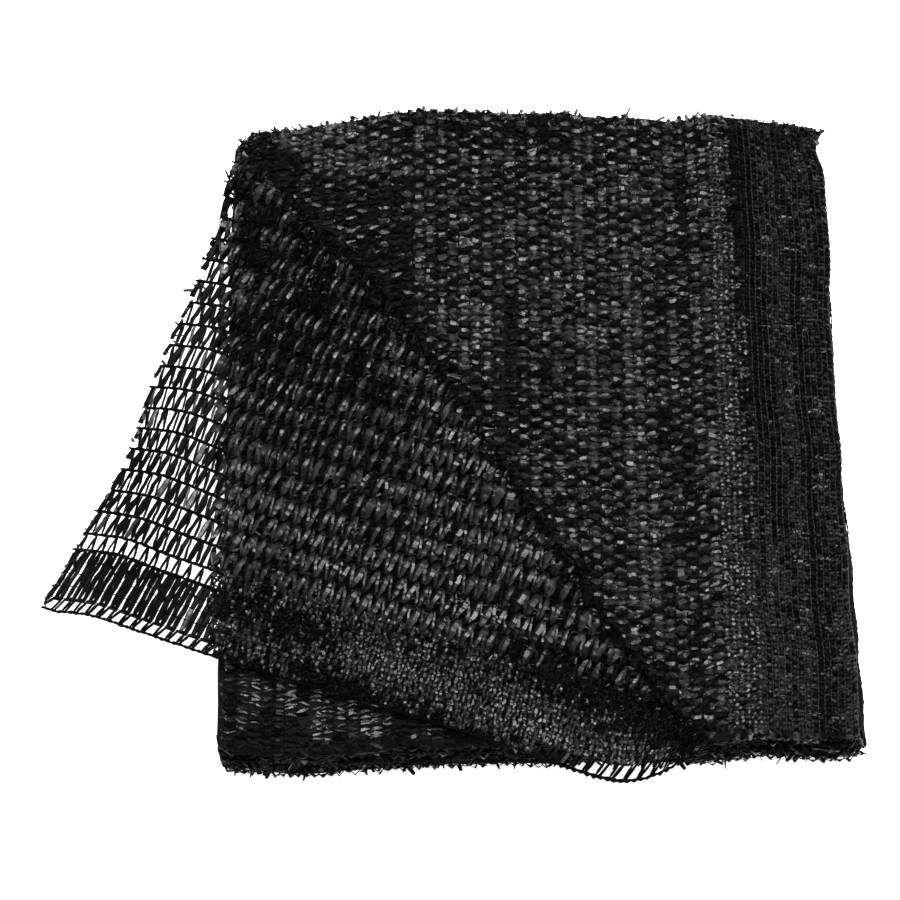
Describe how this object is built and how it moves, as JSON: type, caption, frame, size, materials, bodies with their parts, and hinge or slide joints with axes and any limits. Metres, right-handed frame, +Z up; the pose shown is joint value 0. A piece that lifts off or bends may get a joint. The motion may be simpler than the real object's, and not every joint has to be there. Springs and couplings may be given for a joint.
{
  "type": "folded shade cloth",
  "caption": "Knitted black shade cloth, folded into a flat stack, with the corner of its top ply turned back over one side.",
  "frame": {"origin": "middle of the folded stack's flat underside", "axes": "+X across the cloth's width towards its selvedges, +Y back along its length towards the cut end, +Z up"},
  "size_m": [0.3223, 0.2785, 0.0334],
  "materials": {
    "knitted_net": "open warp-knitted net of glossy black polyethylene tape, with crumpled tapes between thin knitted chains"
  },
  "bodies": {
    "root": {"shade_cloth": "knitted_net"}
  },
  "joints": []
}
